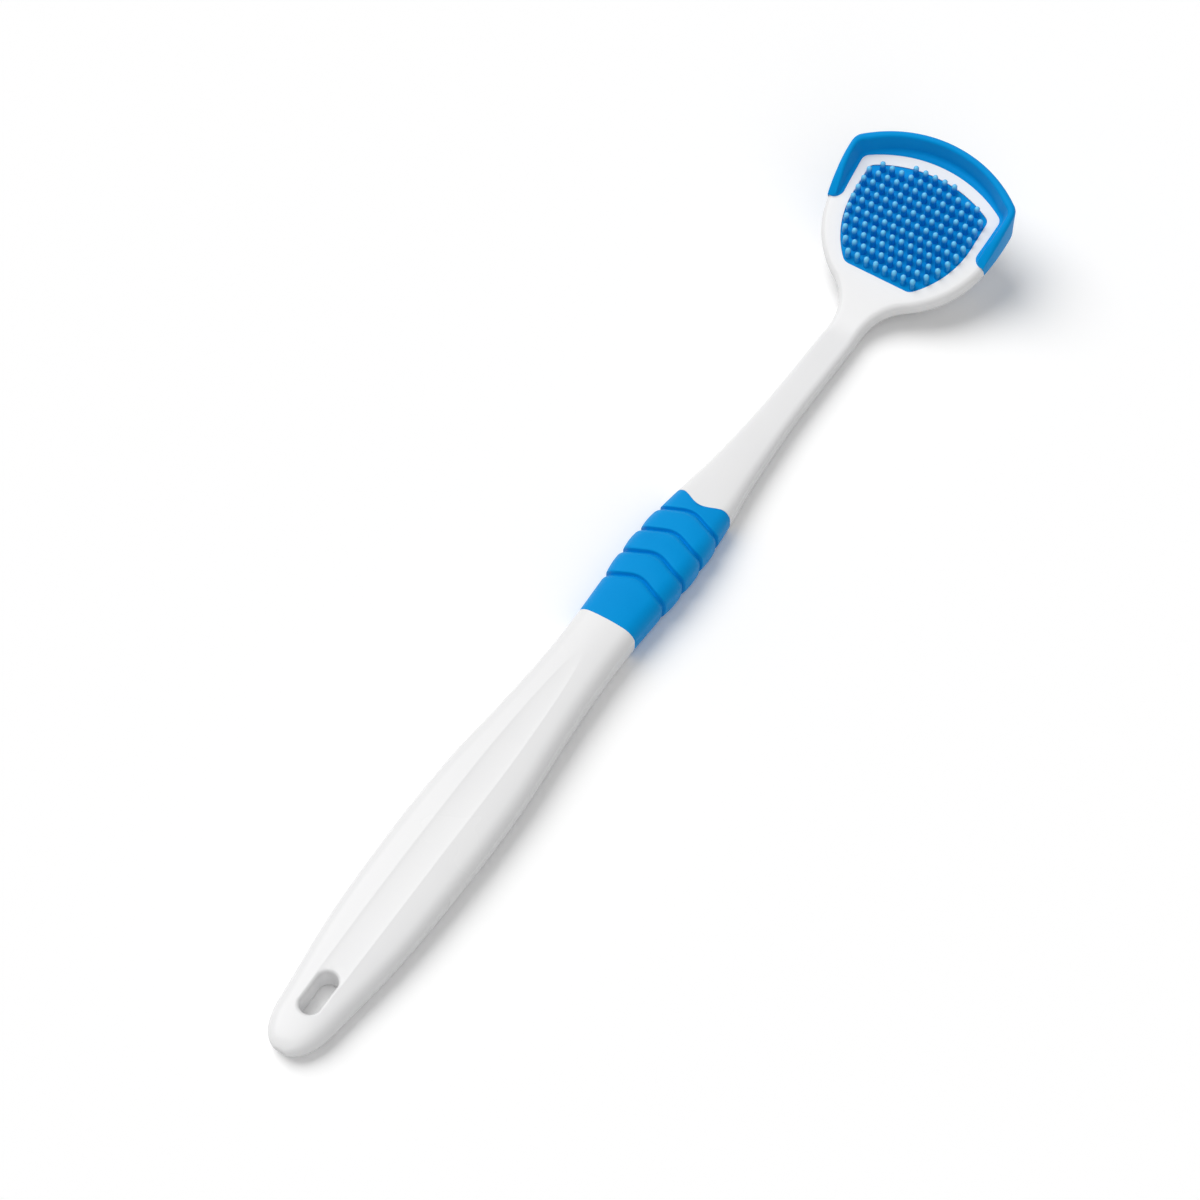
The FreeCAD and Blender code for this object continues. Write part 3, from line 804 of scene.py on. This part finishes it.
def rim_ring(inner, lower, upper, mirror):
    """A section of the rim: flange, hollow, leaning wall, rounded lip and outer face."""
    run = blade_full_reach - shoulder.y
    back = max(0, blade_full_reach - (inner.y + upper.y) / 2)
    climb = blade_height - blade_foot_height
    ramp = (run**2 + climb**2) / (2 * climb)
    height = blade_height - ramp + math.sqrt(ramp**2 - back**2)
    start = arm_notch(inner.y)
    width = (upper - inner).length
    base = (lower - inner).length
    hollow = min(blade_hollow_radius, height * most_round_share)
    tangent = hollow * math.tan((math.pi / 2 - blade_lean) / 2)
    arm_share = (inner.x / rim_side.x)**arm_thickening
    thickness = blade_thickness + (arm_thickness - blade_thickness) * arm_share
    slope = math.tan(blade_lean)
    foot = max(width - thickness - height * slope, start + flange_edge + tangent)
    thickness = width - foot - height * slope
    top_round = min(blade_round_share * thickness, height * most_round_share)
    crest = foot + (height - flange_rise - top_round) * slope + top_round / math.cos(blade_lean)
    under = -plate_thickness - flange_edge
    lean = math.degrees(blade_lean)
    corners = [
        (lower, base - plate_edge_radius, under + plate_edge_radius, plate_edge_radius, -90, 90),
        (upper, width - top_round, height - top_round, top_round, 0, 90),
        (upper, crest, height - top_round, top_round, 90, 90 - lean),
        (upper, foot - tangent, flange_rise + hollow, hollow, -lean, lean - 90),
    ]
    points = [(upper, start, under)]
    for outer, across, up, radius, first, sweep in corners:
        for step in range(rim_round_steps + 1):
            turn = math.radians(first + sweep * step / rim_round_steps)
            points.append((outer, across + radius * math.cos(turn), up + radius * math.sin(turn)))
    points.append((upper, start + flange_edge, flange_rise))
    points.append((upper, start, flange_rise - flange_edge))
    ring = []
    for outer, across, up in points:
        place = inner + (outer - inner).normalized() * across
        ring.append(on_head(mirror * place.x, place.y, up))
    return ring


rails = list(zip(inner_rail, lower_rail, upper_rail))
rim_rings = [rim_ring(*edges, 1) for edges in rails]
rim_rings += [rim_ring(*edges, -1) for edges in rails[-2::-1]]
rim = as_object("rim_lip", skin(rim_rings), rubber_crease)
rim.data.materials.append(blue)
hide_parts("scraper_rim")
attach(rim, "root")

# Studio: a plain white floor that keeps the soft shadow, white surroundings, one large soft lamp
# overhead to the left and a weaker one from the front.

floor_size = 6.0
seen_paper = 1.075
seen_surroundings = 1.0
surroundings_light = 0.235
floor_mesh = bmesh.new()
bmesh.ops.create_grid(floor_mesh, x_segments=1, y_segments=1, size=floor_size / 2)
floor = as_object("floor", floor_mesh, plastic_crease)

# Paper: pale and matt. It is seen lighter than it lights the part, so that only the soft shadow
# shows on it.
paper = bpy.data.materials.new("paper_white")
paper.use_nodes = True
tree = paper.node_tree
tree.nodes.clear()


def seen_rays(tree):
    """1 for the rays that show the surroundings: from the camera, off gloss, through clear pieces."""
    rays = add_node(tree, "ShaderNodeLightPath")
    shown = rays.outputs["Is Camera Ray"]
    for kind in ("Is Glossy Ray", "Is Transmission Ray"):
        either = add_node(
            tree, "ShaderNodeMath", {0: shown, 1: rays.outputs[kind]}, operation="MAXIMUM")
        shown = either.outputs["Value"]
    return shown


sheet = add_node(tree, "ShaderNodeBsdfDiffuse", {"Color": linear("f0f0f0")})
seen = add_node(tree, "ShaderNodeBsdfDiffuse", {
    "Color": (seen_paper, seen_paper, seen_paper, 1)})
chosen = add_node(tree, "ShaderNodeMixShader", {
    "Fac": seen_rays(tree), 1: sheet.outputs["BSDF"], 2: seen.outputs["BSDF"]})
add_node(tree, "ShaderNodeOutputMaterial", {"Surface": chosen.outputs["Shader"]})
floor.data.materials.append(paper)

world = bpy.data.worlds.new("studio")
bpy.context.scene.world = world
world.use_nodes = True
tree = world.node_tree
tree.nodes.clear()
white_sky = linear("ffffff")
seen = add_node(tree, "ShaderNodeBackground", {"Color": white_sky, "Strength": seen_surroundings})
lit = add_node(tree, "ShaderNodeBackground", {"Color": white_sky, "Strength": surroundings_light})
chosen = add_node(tree, "ShaderNodeMixShader", {
    "Fac": seen_rays(tree), 1: lit.outputs["Background"], 2: seen.outputs["Background"]})
add_node(tree, "ShaderNodeOutputWorld", {"Surface": chosen.outputs["Shader"]})

# name, the direction it stands in, its spread in degrees and its strength
lamps = [
    ("key_lamp", (-0.53, 0.06, 0.82), 50, 2.06),
    ("front_lamp", (0.50, -0.45, 0.72), 60, 0.62),
]
for name, place, spread_degrees, strength in lamps:
    lamp = bpy.data.lights.new(name, "SUN")
    lamp.angle = math.radians(spread_degrees)
    lamp.energy = strength
    holder = bpy.data.objects.new(name, lamp)
    holder.location = place
    holder.rotation_euler = (-Vector(place)).to_track_quat("-Z", "Y").to_euler()
    bpy.context.scene.collection.objects.link(holder)

camera_azimuth = math.radians(33.0)
camera_elevation = math.radians(55.1)
camera_distance = 0.642
camera_target = Vector((-0.0039, -0.0055, 0.004))
camera_lens = 120
camera_sensor = 36
back = Vector((
    math.sin(camera_azimuth) * math.cos(camera_elevation),
    -math.cos(camera_azimuth) * math.cos(camera_elevation),
    math.sin(camera_elevation)))
lens = bpy.data.cameras.new("camera")
lens.lens = camera_lens
lens.sensor_width = camera_sensor
camera = bpy.data.objects.new("camera", lens)
camera.location = camera_target + camera_distance * back
camera.rotation_euler = (-back).to_track_quat("-Z", "Y").to_euler()
bpy.context.scene.collection.objects.link(camera)
bpy.context.scene.camera = camera

bpy.context.scene.view_settings.view_transform = "Standard"
